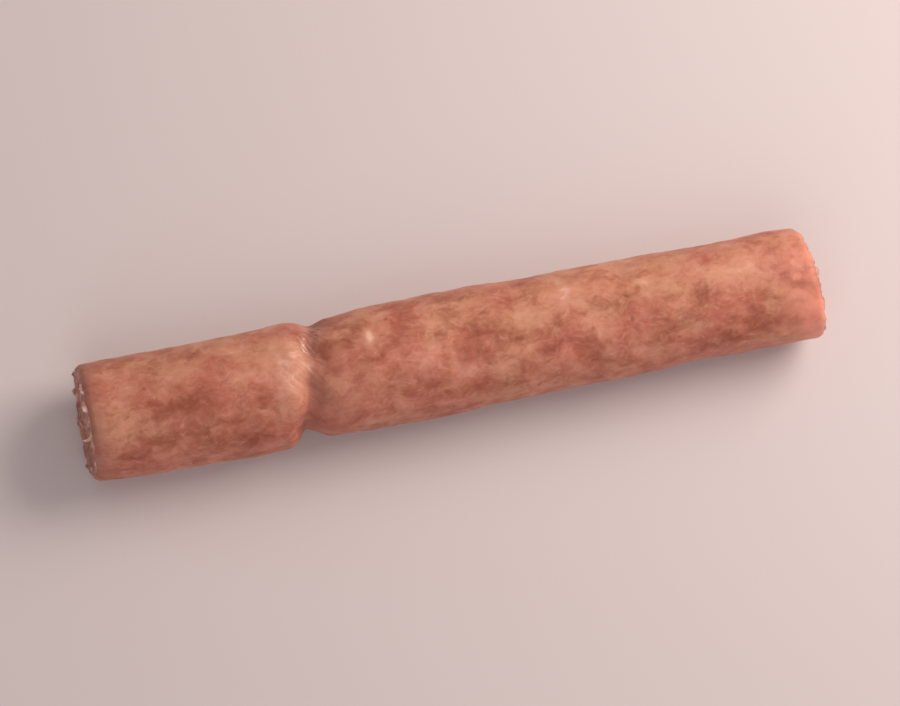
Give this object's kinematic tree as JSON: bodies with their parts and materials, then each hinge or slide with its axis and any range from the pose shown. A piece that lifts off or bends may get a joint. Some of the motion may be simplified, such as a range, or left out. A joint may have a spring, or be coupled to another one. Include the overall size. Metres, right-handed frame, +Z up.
{
  "type": "string of raw sausage links",
  "caption": "Short string of raw sausage links in a casing that is twisted between the links and cut straight across at both ends, lying on a flattened side.",
  "frame": {"origin": "on the surface that the string rests on, under the middle of its length and width", "axes": "+X along the string from the short link's cut end to the long link's, +Y across it, +Z up"},
  "size_m": [0.1374, 0.0232, 0.0206],
  "materials": {
    "raw_sausage": "satin"
  },
  "bodies": {
    "root": {"sausage_string": "raw_sausage"}
  },
  "joints": []
}
